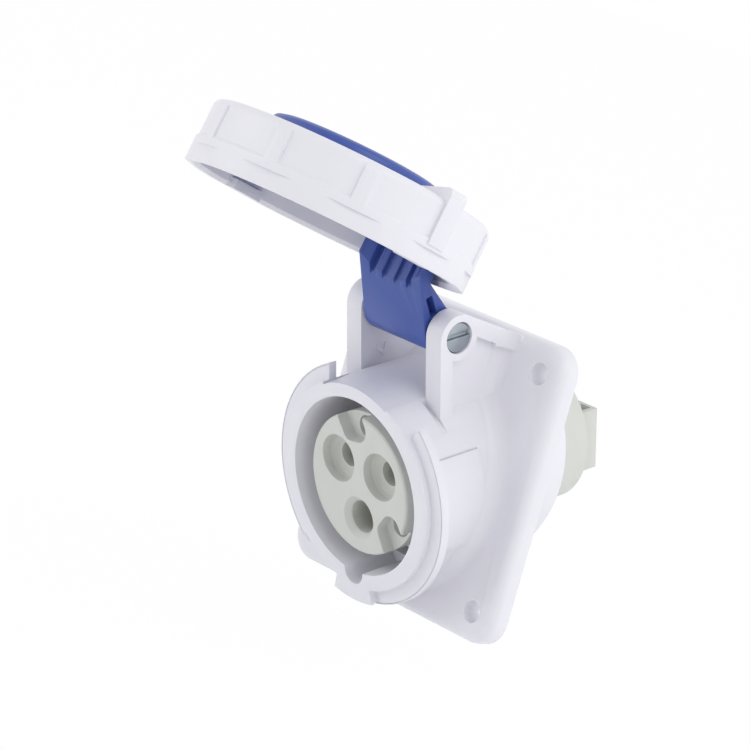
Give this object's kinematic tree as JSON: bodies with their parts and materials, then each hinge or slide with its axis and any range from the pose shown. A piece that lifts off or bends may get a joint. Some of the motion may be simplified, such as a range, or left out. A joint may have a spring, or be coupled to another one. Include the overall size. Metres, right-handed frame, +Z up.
{
  "type": "industrial panel socket",
  "caption": "Sloping panel socket with a shrouded contact carrier, a hinged lid that stands open and a bayonet locking ring around the lid.",
  "frame": {"origin": "centre of the four mounting holes on the flange's back face", "axes": "+X right seen from the front, +Y into the panel, +Z up; the socket's mouth faces -Y and slopes down"},
  "size_m": [0.075, 0.1316, 0.1139],
  "materials": {
    "white_plastic": "satin",
    "grey_plastic": "satin",
    "blue_plastic": "satin",
    "seal": "matt",
    "steel": "satin",
    "contact_brass": "satin"
  },
  "bodies": {
    "base": {"housing": "white_plastic", "panel_gasket": "seal", "contact_carrier": "grey_plastic", "carrier_screw_top": "steel", "carrier_screw_low": "steel", "terminal_body": "grey_plastic", "wire_guide": "grey_plastic", "live_contact": "contact_brass", "neutral_contact": "contact_brass", "earth_contact": "contact_brass", "live_spring": "steel", "neutral_spring": "steel", "earth_spring": "steel", "live_screw": "steel", "neutral_screw": "steel", "earth_screw": "steel", "hinge_pin": "steel"},
    "cover": {"lid": "blue_plastic", "lid_gasket": "seal"},
    "ring": {"locking_ring": "white_plastic"}
  },
  "joints": [
    {"name": "lid_hinge", "type": "hinge", "parent": "base", "child": "cover", "pos_m": [0, -0.02196, 0.03352], "axis": [1, 0, 0], "range_deg": [0, 124.5]},
    {"name": "ring_turn", "type": "hinge", "parent": "cover", "child": "ring", "pos_m": [0, -0.05536, 0.06096], "axis": [0, -0.2504, -0.9681], "range_deg": [0, 50]}
  ]
}
